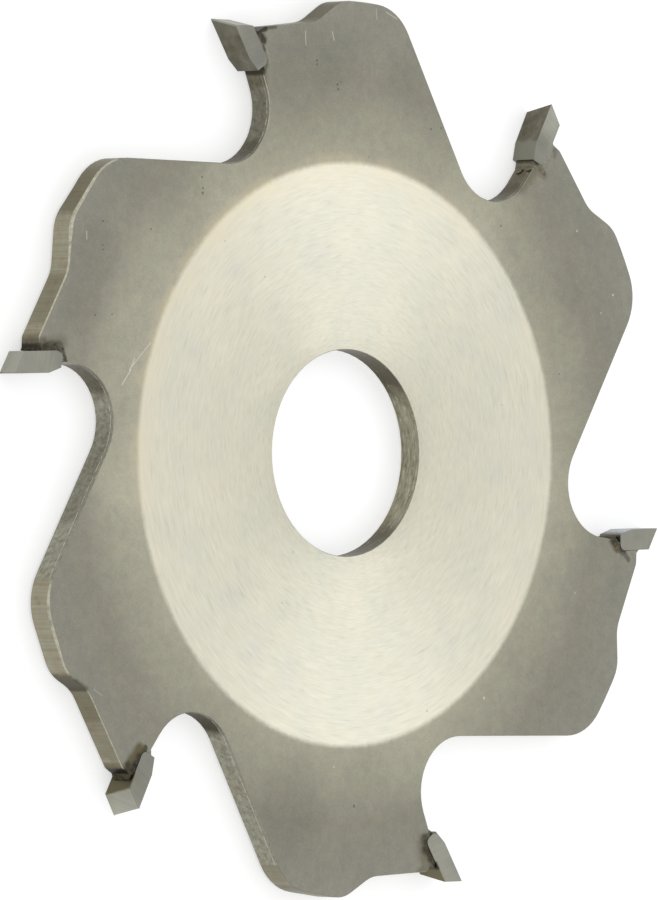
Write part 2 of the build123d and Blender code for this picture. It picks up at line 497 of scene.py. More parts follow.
# How the tips' ground faces differ in tone.
TIP_TONES = (
    Patch(0, -14.4, 42.6, 5.0, -0.31), Patch(1, -16.9, 45.0, 2.6, 0.12),
    Patch(1, -15.6, 43.3, 2.6, -0.1), Patch(1, -13.9, 41.3, 3.4, -0.25),
    Patch(2, -14.9, 43.2, 7.0, -0.18),
    Patch(3, -14.9, 43.2, 7.0, -0.1), Patch(4, -14.6, 42.7, 5.0, -0.31),
    Patch(5, -14.9, 43.2, 7.0, -0.14), Patch(5, -13.0, 41.0, 2.4, -0.1),
)


class Pattern:
    """One material's node tree, with the patterns that several finishes share."""

    def __init__(self, name: str) -> None:
        """Makes an empty material.

        Args:
            name: the material's name.
        """
        self.material = bpy.data.materials.new(name)
        self.material.use_nodes = True
        self.material.node_tree.nodes.clear()
        self.add = partial(add_node, self.material.node_tree)
        metres = self.add("ShaderNodeTexCoord", out="Object")
        self.place = self.add(
            "ShaderNodeVectorMath", {"operation": "SCALE"}, {0: metres, "Scale": 1 / MM}
        )
        self.flat = self.flat_from((0.0, 0.0))

    def flat_from(self, centre: tuple[float, float]) -> Socket:
        """The place seen along the axis, counted from a centre.

        Args:
            centre: X and Y of the centre.

        Returns:
            The vector from the centre, with no height.
        """
        moved = self.add(
            "ShaderNodeVectorMath", {"operation": "SUBTRACT"}, {0: self.place, 1: (*centre, 0.0)}
        )
        return self.add(
            "ShaderNodeVectorMath", {"operation": "MULTIPLY"}, {0: moved, 1: (1.0, 1.0, 0.0)}
        )

    def ring_place(self, centre: tuple[float, float], per_mm: float, per_turn: float) -> Socket:
        """Coordinates in which noise turns to streaks that run round a centre.

        Args:
            centre: X and Y of the centre.
            per_mm: how fast the noise changes outwards, a millimetre.
            per_turn: how fast it changes along a streak.

        Returns:
            A vector for a noise texture.
        """
        flat = self.flat_from(centre)
        out = self.add("ShaderNodeVectorMath", {"operation": "LENGTH"}, {0: flat}, out="Value")
        way = self.add("ShaderNodeVectorMath", {"operation": "NORMALIZE"}, {0: flat})
        turned = self.add(
            "ShaderNodeVectorMath", {"operation": "SCALE"}, {0: way, "Scale": per_turn}
        )
        lifted = self.add("ShaderNodeMath", {"operation": "MULTIPLY"}, {0: out, 1: per_mm})
        upward = self.add("ShaderNodeCombineXYZ", {}, {2: lifted})
        return self.add("ShaderNodeVectorMath", {"operation": "ADD"}, {0: turned, 1: upward})

    def near_pit(self, pits: tuple[Pit, ...]) -> Socket:
        """How near the closest flaw is, on the front face only.

        Args:
            pits: the flaws.

        Returns:
            The distance from it, in its own radii.
        """
        nearest: Socket | float = 100.0
        for pit in pits:
            away = self.add(
                "ShaderNodeVectorMath",
                {"operation": "DISTANCE"},
                {0: self.place, 1: (pit.x, pit.y, HALF_PLATE)},
                out="Value",
            )
            radii = self.add("ShaderNodeMath", {"operation": "DIVIDE"}, {0: away, 1: pit.radius})
            nearest = self.add("ShaderNodeMath", {"operation": "MINIMUM"}, {0: nearest, 1: radii})
        return nearest

    def from_line(self, place: Socket, start: Vector, end: Vector) -> Socket:
        """The distance of a place from a straight line between two points.

        Args:
            place: the place.
            start: one end of the line.
            end: the other end.

        Returns:
            The distance.
        """
        along = end - start
        moved = self.add(
            "ShaderNodeVectorMath", {"operation": "SUBTRACT"}, {0: place, 1: tuple(start)}
        )
        share = self.add(
            "ShaderNodeVectorMath",
            {"operation": "DOT_PRODUCT"},
            {0: moved, 1: tuple(along / along.length_squared)},
            out="Value",
        )
        kept = self.add("ShaderNodeClamp", {}, {0: share})
        foot = self.add(
            "ShaderNodeVectorMath", {"operation": "SCALE"}, {0: tuple(along), "Scale": kept}
        )
        return self.add(
            "ShaderNodeVectorMath", {"operation": "DISTANCE"}, {0: moved, 1: foot}, out="Value"
        )

    def marked(
        self, streaks: tuple[Streak, ...], ragged: float = 0.5, front_only: bool = False
    ) -> Socket:
        """How strongly streaks mark a place, from 0 to 1.

        Args:
            streaks: the marks.
            ragged: how uneven their edges are.
            front_only: whether they lie on the front face alone, or go right through the plate.

        Returns:
            The strength of the strongest mark there.
        """
        place = self.place if front_only else self.flat
        height = HALF_PLATE if front_only else 0.0
        cloud = self.add(
            "ShaderNodeTexNoise", {}, {"Vector": self.place, "Scale": 1.5, "Detail": 5.0}
        )
        uneven = self.add(
            "ShaderNodeMath", {"operation": "MULTIPLY_ADD"}, {0: cloud, 1: ragged, 2: -ragged / 2}
        )
        total: Socket | float = 0.0
        for streak in streaks:
            turn = tooth_turn(streak.tooth)
            away = self.from_line(
                place, turn @ Vector((*streak.start, height)), turn @ Vector((*streak.end, height))
            )
            share = self.add(
                "ShaderNodeMath",
                {"operation": "MULTIPLY_ADD"},
                {0: away, 1: 1 / streak.reach, 2: uneven},
            )
            mark = self.add(
                "ShaderNodeMapRange", EASE,
                {0: share, 1: FULL_SHARE, 2: 1.0, 3: streak.strength, 4: 0.0},
            )
            total = self.add("ShaderNodeMath", {"operation": "MAXIMUM"}, {0: total, 1: mark})
        return total

    def toned(self, colour: Socket, patches: tuple[Patch, ...]) -> Socket:
        """Makes a colour lighter or darker by soft patches.

        Args:
            colour: the colour.
            patches: the patches.

        Returns:
            The changed colour.
        """
        total: Socket | float = 1.0
        for patch in patches:
            centre = tooth_turn(patch.tooth) @ Vector((patch.x, patch.y, 0.0))
            away = self.add(
                "ShaderNodeVectorMath",
                {"operation": "DISTANCE"},
                {0: self.flat, 1: tuple(centre)},
                out="Value",
            )
            lift = self.add(
                "ShaderNodeMapRange", EASE,
                {0: away, 1: patch.radius * FULL_SHARE, 2: patch.radius, 3: patch.lift, 4: 0.0},
            )
            total = self.add("ShaderNodeMath", {"operation": "ADD"}, {0: total, 1: lift})
        return self.add("ShaderNodeVectorMath", {"operation": "SCALE"}, {0: colour, "Scale": total})

    def stained(self, colour: Socket, stains: tuple[tuple[tuple[Streak, ...], str], ...]) -> Socket:
        """Covers a colour with marks, each set in a colour of its own.

        Args:
            colour: the colour under them.
            stains: sets of marks with their sRGB hex colours, the lowest first.

        Returns:
            The covered colour.
        """
        for streaks, code in stains:
            colour = self.add(
                "ShaderNodeMix", MIX, {0: self.marked(streaks), 6: colour, 7: linear(code)}, out=2
            )
        return colour

    def shaded(self, colour: Socket, noise: Socket, stops: list[tuple[float, str]]) -> Socket:
        """Darkens a colour unevenly.

        Args:
            colour: the colour.
            noise: what it follows.
            stops: the noise's values, each with the sRGB hex colour that it multiplies by.

        Returns:
            The darkened colour.
        """
        shade = self.add("ShaderNodeValToRGB", {}, {0: noise}, stops=stops)
        return self.add("ShaderNodeMix", TIMES, {0: 1.0, 6: colour, 7: shade}, out=2)

    def lit_below(self, colour: Socket, height: Socket, start: float, gain: float) -> Socket:
        """Makes a wall's far side lighter, where the floor lights it.

        Args:
            colour: the wall's colour.
            height: the place's height.
            start: the height at which it begins.
            gain: how much lighter the far edge is.

        Returns:
            The changed colour.
        """
        lit = self.add("ShaderNodeMapRange", {}, {0: height, 1: start, 2: -HALF_PLATE, 3: 1.0, 4: gain})
        return self.add("ShaderNodeVectorMath", {"operation": "SCALE"}, {0: colour, "Scale": lit})

    def finish(self, shader: Socket) -> bpy.types.Material:
        """Ends the tree with a shader.

        Args:
            shader: the whole surface.

        Returns:
            The material.
        """
        self.add("ShaderNodeOutputMaterial", {}, {"Surface": shader})
        return self.material


# Finishes


@dataclass(frozen=True)
class BlastedAndGroundFace:
    """The plate's faces: hardened tool steel, blasted to a fine grain, with its hub ground bright.

    Sizes are in millimetres. The blasting grit's marks are drawn three times as coarse as the
    real 0.05 mm, because they are too fine to show, and so are the grinding rings of the hub.
    """

    name: str = "blasted_tool_steel_with_ground_hub"
    hub_centre: tuple[float, float] = (0.4, -0.17)
    hub_r: float = 31.0
    rim_fade: float = 0.4
    # The side of the rim that is stained most, and how far the stain fades on to the hub and the
    # plate, with its strength at the rim.
    stain_way: tuple[float, float, float] = (-0.57, 0.82, 0.0)
    stain_in: tuple[float, float] = (-3.6, 1.0)
    stain_out: tuple[float, float] = (1.5, 0.8)
    bore_r: float = 11.0
    grain_mm: float = 0.16
    # How wide the turning marks are, and how fast they change round the hub. A second pass left
    # wider arcs about a centre of its own.
    ring_mm: float = 0.15
    ring_turn: float = 13.0
    arc_centre: tuple[float, float] = (2.6, 1.7)
    arc_mm: float = 1 / 3
    arc_turn: float = 12.0
    plate_roughness: float = 0.52
    hub_roughness: float = 0.36
    hub_anisotropy: float = 0.85

    def plate_colour(self, p: Pattern) -> Socket:
        """Colours the blasted steel, lighter towards the hub.

        Args:
            p: the material's patterns.

        Returns:
            The colour.
        """
        out = p.add("ShaderNodeVectorMath", {"operation": "LENGTH"}, {0: p.flat}, out="Value")
        wander = p.add("ShaderNodeTexNoise", {}, {"Vector": p.place, "Scale": 0.11, "Detail": 3.0})
        moved = p.add("ShaderNodeMath", {"operation": "MULTIPLY_ADD"}, {0: wander, 1: 4.0, 2: -2.0})
        reach = p.add("ShaderNodeMath", {"operation": "ADD"}, {0: out, 1: moved})
        share = p.add("ShaderNodeMapRange", {}, {0: reach, 1: 30.0, 2: 48.0})
        steel = p.add(
            "ShaderNodeValToRGB", {}, {0: share},
            stops=[(0.0, "ABA998"), (0.12, "A8A594"), (0.2, "A3A08F"), (0.28, "A09E8D"),
                   (0.36, "9C9989"), (0.445, "969485"), (0.53, "918E80"), (0.61, "908E80"),
                   (0.78, "8F8D81"), (1.0, "939185")],
        )
        steel = p.toned(steel, PLATE_TONES)
        clouds = p.add(
            "ShaderNodeTexNoise", {}, {"Vector": p.place, "Scale": 0.2, "Detail": 5.0, "Roughness": 0.6}
        )
        steel = p.shaded(steel, clouds, [(0.3, "F6F6F6"), (0.7, "FFFEFC")])
        mottle = p.add(
            "ShaderNodeTexNoise", {}, {"Vector": p.place, "Scale": 1.0, "Detail": 3.0, "Roughness": 0.6}
        )
        steel = p.shaded(steel, mottle, [(0.28, "F0F1F3"), (0.72, "FFFFFD")])
        grain = p.add(
            "ShaderNodeTexNoise", {},
            {"Vector": p.place, "Scale": 1 / self.grain_mm, "Detail": 3.0, "Roughness": 0.7},
        )
        return p.shaded(steel, grain, [(0.25, "E6E6E6"), (0.75, "FFFFFF")])

    def hub_colour(self, p: Pattern, rings: Socket) -> Socket:
        """Colours the ground hub, with faint rings and the arcs of a second pass.

        Args:
            p: the material's patterns.
            rings: fine noise in rings round the bore.

        Returns:
            The colour.
        """
        patches = p.add("ShaderNodeTexNoise", {}, {"Vector": p.place, "Scale": 0.22, "Detail": 4.0})
        steel = p.add(
            "ShaderNodeValToRGB", {}, {0: patches},
            stops=[(0.3, "CECCBE"), (0.5, "D2CFBF"), (0.7, "D6D2C1")],
        )
        out = p.add("ShaderNodeVectorMath", {"operation": "LENGTH"}, {0: p.flat}, out="Value")
        share = p.add("ShaderNodeMapRange", {}, {0: out, 1: self.bore_r, 2: self.hub_r})
        steel = p.shaded(
            steel, share, [(0.0, "F0F0EE"), (0.1, "F8F8F7"), (0.3, "FBFBFA"), (0.75, "FFFFFF")]
        )
        steel = p.shaded(steel, rings, [(0.3, "F4F4F3"), (0.5, "FAFAF9"), (0.68, "FFFFFF")])
        arcs = p.ring_place(self.arc_centre, 1 / self.arc_mm, self.arc_turn)
        second = p.add(
            "ShaderNodeTexNoise", {}, {"Vector": arcs, "Scale": 1.0, "Detail": 3.0, "Roughness": 0.55}
        )
        return p.shaded(steel, second, [(0.24, "F0F0EE"), (0.4, "FBFBFA"), (0.62, "FFFFFF")])

    def tan_stain(self, p: Pattern, outwards: Socket) -> Socket:
        """Gives the strength of the faint tan stain, which covers a third of the way round.

        Args:
            p: the material's patterns.
            outwards: the direction from the hub's centre.

        Returns:
            The strength.
        """
        towards = p.add(
            "ShaderNodeVectorMath",
            {"operation": "DOT_PRODUCT"},
            {0: outwards, 1: self.stain_way},
            out="Value",
        )
        turned = p.add("ShaderNodeMapRange", EASE, {0: towards, 1: 0.1, 2: 0.8, 3: 0.1, 4: 0.8})
        blots = p.add(
            "ShaderNodeTexNoise", {}, {"Vector": p.place, "Scale": 0.3, "Detail": 4.0, "Roughness": 0.6}
        )
        broken = p.add("ShaderNodeMapRange", EASE, {0: blots, 1: 0.38, 2: 0.6, 3: 0.3, 4: 1.0})
        return p.add("ShaderNodeMath", {"operation": "MULTIPLY"}, {0: turned, 1: broken})

    def stained_from_rim(
        self, p: Pattern, colour: Socket, reach: Socket, stain: Socket, fade: tuple[float, float],
        code: str,
    ) -> Socket:
        """Stains the hub or the plate, most at the hub's rim.

        Args:
            p: the material's patterns.
            colour: the colour under the stain.
            reach: how far the place is from the hub's centre.
            stain: the stain's strength round the rim.
            fade: where it ends, counted outwards from the rim, and its strength at the rim.
            code: its sRGB hex colour.

        Returns:
            The stained colour.
        """
        end, most = fade
        faded = p.add(
            "ShaderNodeMapRange", EASE, {0: reach, 1: self.hub_r + end, 2: self.hub_r, 3: 0.0, 4: most}
        )
        share = p.add("ShaderNodeMath", {"operation": "MULTIPLY"}, {0: faded, 1: stain})
        return p.add("ShaderNodeMix", MIX, {0: share, 6: colour, 7: linear(code)}, out=2)

    def build(self) -> bpy.types.Material:
        """Makes the material.

        Returns:
            The material.
        """
        # Blasting gives the plate a warm matt grey with a fine even grain. The rings on the hub
        # spread a highlight outwards, so the eye sees two pale fans that turn with the light.
        p = Pattern(self.name)
        round_hub = p.ring_place(self.hub_centre, 1 / self.ring_mm, self.ring_turn)
        rings = p.add("ShaderNodeTexNoise", {}, {"Vector": round_hub, "Scale": 1.0, "Detail": 3.0})
        plate, hub = self.plate_colour(p), self.hub_colour(p, rings)
        from_hub = p.flat_from(self.hub_centre)
        out = p.add("ShaderNodeVectorMath", {"operation": "LENGTH"}, {0: from_hub}, out="Value")
        cloud = p.add("ShaderNodeTexNoise", {}, {"Vector": p.place, "Scale": 1.6, "Detail": 4.0})
        uneven = p.add("ShaderNodeMath", {"operation": "MULTIPLY_ADD"}, {0: cloud, 1: 0.3, 2: -0.15})
        reach = p.add("ShaderNodeMath", {"operation": "ADD"}, {0: out, 1: uneven})
        on_hub = p.add(
            "ShaderNodeMapRange", EASE,
            {0: reach, 1: self.hub_r + self.rim_fade, 2: self.hub_r - self.rim_fade, 3: 0.0, 4: 1.0},
        )
        outwards = p.add("ShaderNodeVectorMath", {"operation": "NORMALIZE"}, {0: from_hub})
        stain = self.tan_stain(p, outwards)
        plate = self.stained_from_rim(p, plate, reach, stain, self.stain_out, "B8AE93")
        hub = self.stained_from_rim(p, hub, reach, stain, self.stain_in, "D3CBB2")

        # Heat colours, then soot with painted shade near the tips.
        plate = p.stained(plate, ((BROWNED, "59543F"), (SOOT_AND_TIP_SHADE, "35332A")))
        specks = p.add(
            "ShaderNodeMapRange", EASE, {0: p.near_pit(SPECKS), 1: 1.2, 2: 0.5, 3: 0.0, 4: 0.6}
        )
        scratches = p.marked(SCRATCHES, ragged=0.2, front_only=True)
        bright = p.add("ShaderNodeMath", {"operation": "MAXIMUM"}, {0: specks, 1: scratches})
        plate = p.add("ShaderNodeMix", MIX, {0: bright, 6: plate, 7: linear("C9C7B8")}, out=2)
        pits = p.add("ShaderNodeMapRange", EASE, {0: p.near_pit(PITS), 1: 1.3, 2: 0.5, 3: 0.0, 4: 0.7})
        plate = p.add("ShaderNodeMix", MIX, {0: pits, 6: plate, 7: linear("4E4B3F")}, out=2)
        hub = p.add("ShaderNodeMix", MIX, {0: pits, 6: hub, 7: linear("8A8779")}, out=2)

        grain = p.add(
            "ShaderNodeTexNoise", {}, {"Vector": p.place, "Scale": 1 / self.grain_mm, "Detail": 2.0}
        )
        grained = p.add("ShaderNodeBump", {}, {"Height": grain, "Distance": 0.01 * MM, "Strength": 0.5})
        blasted = p.add(
            "ShaderNodeBsdfPrincipled", {},
            {"Base Color": plate, "Metallic": 1.0, "Roughness": self.plate_roughness, "Normal": grained},
        )
        ringed = p.add("ShaderNodeBump", {}, {"Height": rings, "Distance": 0.004 * MM, "Strength": 0.2})
        ground = p.add(
            "ShaderNodeBsdfPrincipled", {},
            {"Base Color": hub, "Metallic": 1.0, "Roughness": self.hub_roughness,
             "Anisotropic": self.hub_anisotropy, "Tangent": outwards, "Normal": ringed},
        )
        return p.finish(p.add("ShaderNodeMixShader", {}, {0: on_hub, 1: blasted, 2: ground}))


@dataclass(frozen=True)
class StampedWall:
    """The plate's stamped outline: tool steel, torn by the die under a smooth lip."""

    name: str = "stamped_tool_steel_wall"
    lip_mm: float = 0.42
    line_mm: float = 0.06
    roughness: float = 0.5

    def build(self) -> bpy.types.Material:
        """Makes the material.

        Returns:
            The material.
        """
        # The torn zone looks mottled and a little pitted. A thin bright line, broken here and
        # there, is a painted highlight on the burr where the smooth lip under the front face ends.
        p = Pattern(self.name)
        torn = p.add(
            "ShaderNodeTexNoise", {}, {"Vector": p.place, "Scale": 1.9, "Detail": 8.0, "Roughness": 0.7}
        )
        wall = p.add(
            "ShaderNodeValToRGB", {}, {0: torn},
            stops=[
                (0.3, "706D5E"), (0.42, "858374"), (0.52, "949283"), (0.62, "9F9D8D"), (0.74, "ADAB9B")
            ],
        )
        warm = p.add("ShaderNodeTexNoise", {}, {"Vector": p.place, "Scale": 0.35, "Detail": 3.0})
        tint = p.add("ShaderNodeMapRange", EASE, {0: warm, 1: 0.52, 2: 0.72, 3: 0.0, 4: 0.25})
        wall = p.add("ShaderNodeMix", MIX, {0: tint, 6: wall, 7: linear("8A7C64")}, out=2)
        height = p.add("ShaderNodeSeparateXYZ", {}, {0: p.place}, out=2)
        wall = p.lit_below(wall, height, 0.2, 1.18)
        # Painted shade in the gullets' bends and on some slopes.
        wall = p.stained(wall, ((PAINTED_WALL_SHADE, "403B2C"),))

        wave = p.add("ShaderNodeTexNoise", {}, {"Vector": p.flat, "Scale": 0.9, "Detail": 3.0})
        drift = p.add("ShaderNodeMath", {"operation": "MULTIPLY_ADD"}, {0: wave, 1: 0.2, 2: -0.1})
        level = p.add("ShaderNodeMath", {"operation": "ADD"}, {0: height, 1: drift})
        burr = HALF_PLATE - self.lip_mm
        on_lip = p.add(
            "ShaderNodeMapRange", EASE, {0: level, 1: burr, 2: burr + self.line_mm, 3: 0.0, 4: 0.4}
        )
        wall = p.add("ShaderNodeMix", MIX, {0: on_lip, 6: wall, 7: linear("8D8B7C")}, out=2)
        from_burr = p.add("ShaderNodeMath", {"operation": "SUBTRACT"}, {0: level, 1: burr})
        off_burr = p.add("ShaderNodeMath", {"operation": "ABSOLUTE"}, {0: from_burr})
        # Painted highlight: a thin light line along the burr.
        line = p.add(
            "ShaderNodeMapRange", EASE,
            {0: off_burr, 1: self.line_mm, 2: self.line_mm * 0.3, 3: 0.0, 4: 1.0},
        )
        gaps = p.add("ShaderNodeTexNoise", {}, {"Vector": p.flat, "Scale": 1.6, "Detail": 2.0})
        shown = p.add("ShaderNodeMapRange", EASE, {0: gaps, 1: 0.4, 2: 0.55, 3: 0.15, 4: 0.8})
        share = p.add("ShaderNodeMath", {"operation": "MULTIPLY"}, {0: line, 1: shown})
        wall = p.add("ShaderNodeMix", MIX, {0: share, 6: wall, 7: linear("CECCBB")}, out=2)
        # Heat colours, then soot with painted shade near the tips.
        wall = p.stained(wall, ((BROWNED, "554D39"), (SOOT_AND_TIP_SHADE, "33312A")))
        pitted = p.add("ShaderNodeBump", {}, {"Height": torn, "Distance": 0.04 * MM, "Strength": 0.7})
        return p.finish(p.add(
            "ShaderNodeBsdfPrincipled", {},
            {"Base Color": wall, "Metallic": 1.0, "Roughness": self.roughness, "Normal": pitted},
        ))


@dataclass(frozen=True)
class ReamedBore:
    """The bore's wall: tool steel, reamed to size and specked by handling."""

    name: str = "reamed_tool_steel_bore"
    roughness: float = 0.42

    def build(self) -> bpy.types.Material:
        """Makes the material.

        Returns:
            The material.
        """
        # Reaming leaves a smooth pale wall, with a few dark and light specks.
        p = Pattern(self.name)
        stretched = p.add(
            "ShaderNodeVectorMath", {"operation": "MULTIPLY"}, {0: p.place, 1: (0.5, 0.5, 2.4)}
        )
        cloud = p.add(
            "ShaderNodeTexNoise", {},
            {"Vector": stretched, "Scale": 1.3, "Detail": 6.0, "Roughness": 0.65},
        )
        wall = p.add(
            "ShaderNodeValToRGB", {}, {0: cloud},
            stops=[(0.32, "6B6854"), (0.45, "8A8873"), (0.57, "9D9B87"), (0.7, "B4B29F")],
        )
        spots = p.add("ShaderNodeTexNoise", {}, {"Vector": p.place, "Scale": 3.1, "Detail": 2.0})
        dark = p.add("ShaderNodeMapRange", EASE, {0: spots, 1: 0.66, 2: 0.72, 3: 0.0, 4: 0.6})
        wall = p.add("ShaderNodeMix", MIX, {0: dark, 6: wall, 7: linear("4F4C3E")}, out=2)
        wall = p.stained(wall, ((DARK_BORE, "4B4535"),))
        light = p.add("ShaderNodeMapRange", EASE, {0: spots, 1: 0.32, 2: 0.27, 3: 0.0, 4: 0.5})
        wall = p.add("ShaderNodeMix", MIX, {0: light, 6: wall, 7: linear("CFCDBC")}, out=2)
        uneven = p.add("ShaderNodeBump", {}, {"Height": cloud, "Distance": 0.02 * MM, "Strength": 0.6})
        return p.finish(p.add(
            "ShaderNodeBsdfPrincipled", {},
            {"Base Color": wall, "Metallic": 1.0, "Roughness": self.roughness, "Normal": uneven},
        ))


@dataclass(frozen=True)
class WheelGroundBack:
    """The teeth's ground backs: tool steel, with the wheel's marks across the plate."""

    name: str = "wheel_ground_tool_steel"
    mark_mm: float = 0.25
    roughness: float = 0.42

    def build(self) -> bpy.types.Material:
        """Makes the material.

        Returns:
            The material.
        """
        # The wheel leaves faint lines across the edge and a cleaner, paler steel than the die's,
        # dulled to a darker olive in places and browned where the brazing heat reached it.
        p = Pattern(self.name)
        marks = p.add(
            "ShaderNodeTexNoise", {}, {"Vector": p.flat, "Scale": 1 / self.mark_mm, "Detail": 3.0}
        )
        steel = p.add(
            "ShaderNodeValToRGB", {}, {0: marks},
            stops=[(0.3, "908E7E"), (0.5, "999787"), (0.7, "A29F8F")],
        )
        cloud = p.add(
            "ShaderNodeTexNoise", {}, {"Vector": p.place, "Scale": 0.9, "Detail": 5.0, "Roughness": 0.6}
        )
        steel = p.shaded(
            steel, cloud, [(0.3, "E4E0D6"), (0.45, "FBF3EA"), (0.58, "F9F9F2"), (0.7, "FFFFFF")]
        )
        height = p.add("ShaderNodeSeparateXYZ", {}, {0: p.place}, out=2)
        steel = p.lit_below(steel, height, 0.0, 1.15)
        # Darker olive places, heat colours, and soot with painted shade near the tips.
        steel = p.stained(steel, ((DARK_BACKS, "564F38"), (BROWNED, "5A5136"), (SOOT_AND_TIP_SHADE, "33312A")))
        lined = p.add("ShaderNodeBump", {}, {"Height": marks, "Distance": 0.01 * MM, "Strength": 0.4})
        return p.finish(p.add(
            "ShaderNodeBsdfPrincipled", {},
            {"Base Color": steel, "Metallic": 1.0, "Roughness": self.roughness, "Normal": lined},
        ))


@dataclass(frozen=True)
class WornAndHighlitRim:
    """The broken edges of the plate: tool steel, dull but for the places worn bright and given a painted
    highlight.
    """

    name: str = "worn_and_highlit_tool_steel_rim"
    roughness: float = 0.42

    def build(self) -> bpy.types.Material:
        """Makes the material.

        Returns:
            The material.
        """
        # Rubbing and a painted highlight give a thin uneven light line along some edges, and the others
        # hardly show.
        p = Pattern(self.name)
        cloud = p.add(
            "ShaderNodeTexNoise", {}, {"Vector": p.place, "Scale": 2.4, "Detail": 5.0, "Roughness": 0.7}
        )
        dull = p.add(
            "ShaderNodeValToRGB", {}, {0: cloud},
            stops=[(0.32, "76746A"), (0.5, "8A887B"), (0.66, "9C9A8B")],
        )
        bright = p.add(
            "ShaderNodeValToRGB", {}, {0: cloud},
            stops=[(0.3, "9F9D8A"), (0.5, "B3B19D"), (0.66, "C9C7B4")],
        )
        # Painted highlight along the edges that rubbing wore bright.
        rubbed_and_highlit = p.marked(RUBBED_AND_HIGHLIT)
        steel = p.add("ShaderNodeMix", MIX, {0: rubbed_and_highlit, 6: dull, 7: bright}, out=2)
        dark = p.add("ShaderNodeMath", {"operation": "MULTIPLY"}, {0: p.marked(DARK_BACKS), 1: 0.6})
        away_from_highlight = p.add("ShaderNodeMath", {"operation": "SUBTRACT"}, {0: 1.0, 1: rubbed_and_highlit})
        dark = p.add("ShaderNodeMath", {"operation": "MULTIPLY"}, {0: dark, 1: away_from_highlight})
        steel = p.add("ShaderNodeMix", MIX, {0: dark, 6: steel, 7: linear("564F38")}, out=2)
        # Soot with painted shade near the tips.
        steel = p.stained(steel, ((SOOT_AND_TIP_SHADE, "35332A"),))
        return p.finish(p.add(
            "ShaderNodeBsdfPrincipled", {},
            {"Base Color": steel, "Metallic": 1.0, "Roughness": self.roughness},
        ))


@dataclass(frozen=True)
class GroundCarbide:
    """The tips: sintered tungsten carbide, fine ground, with rake faces smeared by cutting."""

    name: str = "ground_tungsten_carbide"
    # How wide the wheel's marks are, and how fast they change round the axis.
    mark_mm: float = 0.12
    mark_turn: float = 7.0
    roughness: float = 0.4
    # How much lighter the outer ends are painted than the sides, as painted light.
    painted_end_light: float = 1.45

    def facing(self, p: Pattern, way: Socket, start: float, end: float) -> Socket:
        """How far a face turns towards a direction.

        Args:
            p: the material's patterns.
            way: the direction.
            start: the cosine at which the share leaves 0.
            end: the cosine at which it reaches 1.

        Returns:
            The share.
        """
        normal = p.add("ShaderNodeTexCoord", out="Normal")
        turned = p.add(
            "ShaderNodeVectorMath", {"operation": "DOT_PRODUCT"}, {0: normal, 1: way}, out="Value"
        )
        return p.add("ShaderNodeMapRange", EASE, {0: turned, 1: start, 2: end, 3: 0.0, 4: 1.0})

    def build(self) -> bpy.types.Material:
        """Makes the material.

        Returns:
            The material.
        """
        # Carbide is a cooler, closer grey than the steel. Its sides and outer ends are smooth from
        # a diamond wheel, and the rake faces are darker and smeared with wood and resin. The outer ends
        # are painted lighter than the sides as painted light, and a finer ground rake face has a painted
        # sheen.
        p = Pattern(self.name)
        outwards = p.add("ShaderNodeVectorMath", {"operation": "NORMALIZE"}, {0: p.flat})
        forwards = p.add(
            "ShaderNodeVectorMath", {"operation": "CROSS_PRODUCT"}, {0: (0.0, 0.0, 1.0), 1: outwards}
        )
        round_axis = p.ring_place((0.0, 0.0), 1 / self.mark_mm, self.mark_turn)
        lines = p.add("ShaderNodeTexNoise", {}, {"Vector": round_axis, "Scale": 1.0, "Detail": 2.0})
        ground = p.add(
            "ShaderNodeValToRGB", {}, {0: lines},
            stops=[(0.3, "919188"), (0.5, "94948B"), (0.7, "98988E")],
        )
        cloud = p.add("ShaderNodeTexNoise", {}, {"Vector": p.place, "Scale": 0.5, "Detail": 4.0})
        ground = p.shaded(ground, cloud, [(0.35, "ECECEB"), (0.65, "F8F7F2")])
        ground = p.toned(ground, TIP_TONES)
        # Painted light: the outer ends are made lighter than the sides.
        bright = p.add(
            "ShaderNodeVectorMath", {"operation": "SCALE"}, {0: ground, "Scale": self.painted_end_light}
        )
        on_end = self.facing(p, outwards, 0.6, 0.8)
        ground = p.add("ShaderNodeMix", MIX, {0: on_end, 6: ground, 7: bright}, out=2)

        smear = p.add(
            "ShaderNodeTexNoise", {}, {"Vector": p.place, "Scale": 0.8, "Detail": 6.0, "Roughness": 0.6}
        )
        rake = p.add(
            "ShaderNodeValToRGB", {}, {0: smear},
            stops=[(0.3, "575445"), (0.45, "636051"), (0.58, "6C695B"), (0.72, "7B796C")],
        )
        # Wiped patches, and a painted sheen on the finer ground rake face.
        rake = p.stained(rake, ((WIPED, "7F7F72"), (POLISHED_SHEEN, "A6ABAF")))
        on_rake = self.facing(p, forwards, 0.6, 0.75)
        colour = p.add("ShaderNodeMix", MIX, {0: on_rake, 6: ground, 7: rake}, out=2)
        colour = p.stained(colour, ((TIP_BROWNED, "69634B"), (TIP_SOOT, "37352A")))
        return p.finish(p.add(
            "ShaderNodeBsdfPrincipled", {},
            {"Base Color": colour, "Metallic": 1.0, "Roughness": self.roughness},
        ))


